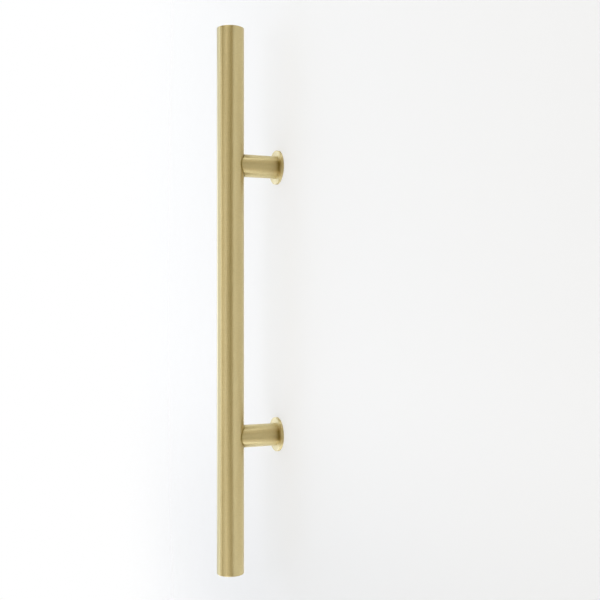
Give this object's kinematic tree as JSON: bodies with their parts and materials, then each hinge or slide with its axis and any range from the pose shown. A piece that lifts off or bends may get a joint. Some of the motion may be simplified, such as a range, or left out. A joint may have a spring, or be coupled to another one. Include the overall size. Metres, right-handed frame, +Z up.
{
  "type": "door pull",
  "caption": "Upright round-bar door pull on round posts, each with a flat round rose against the door; all in satin brass.",
  "frame": {"origin": "in the plane of the door's face, midway between the upper and the lower fixing", "axes": "+Z up along the grip bar, +Y into the door, so the pull stands off the door towards -Y"},
  "size_m": [0.038, 0.071, 0.6],
  "materials": {
    "satin_brass": "satin, finely brushed round each piece",
    "fixing_steel": "turned, bright zinc",
    "spring_steel": "dark spring steel"
  },
  "bodies": {
    "root": {"grip_bar": "satin_brass", "upper_end_cap": "satin_brass", "lower_end_cap": "satin_brass", "upper_post": "satin_brass", "upper_rose": "satin_brass", "upper_threaded_insert": "fixing_steel", "upper_saddle_nut": "fixing_steel", "upper_post_screw": "fixing_steel", "upper_lock_washer": "spring_steel", "lower_post": "satin_brass", "lower_rose": "satin_brass", "lower_threaded_insert": "fixing_steel", "lower_saddle_nut": "fixing_steel", "lower_post_screw": "fixing_steel", "lower_lock_washer": "spring_steel"}
  },
  "joints": []
}
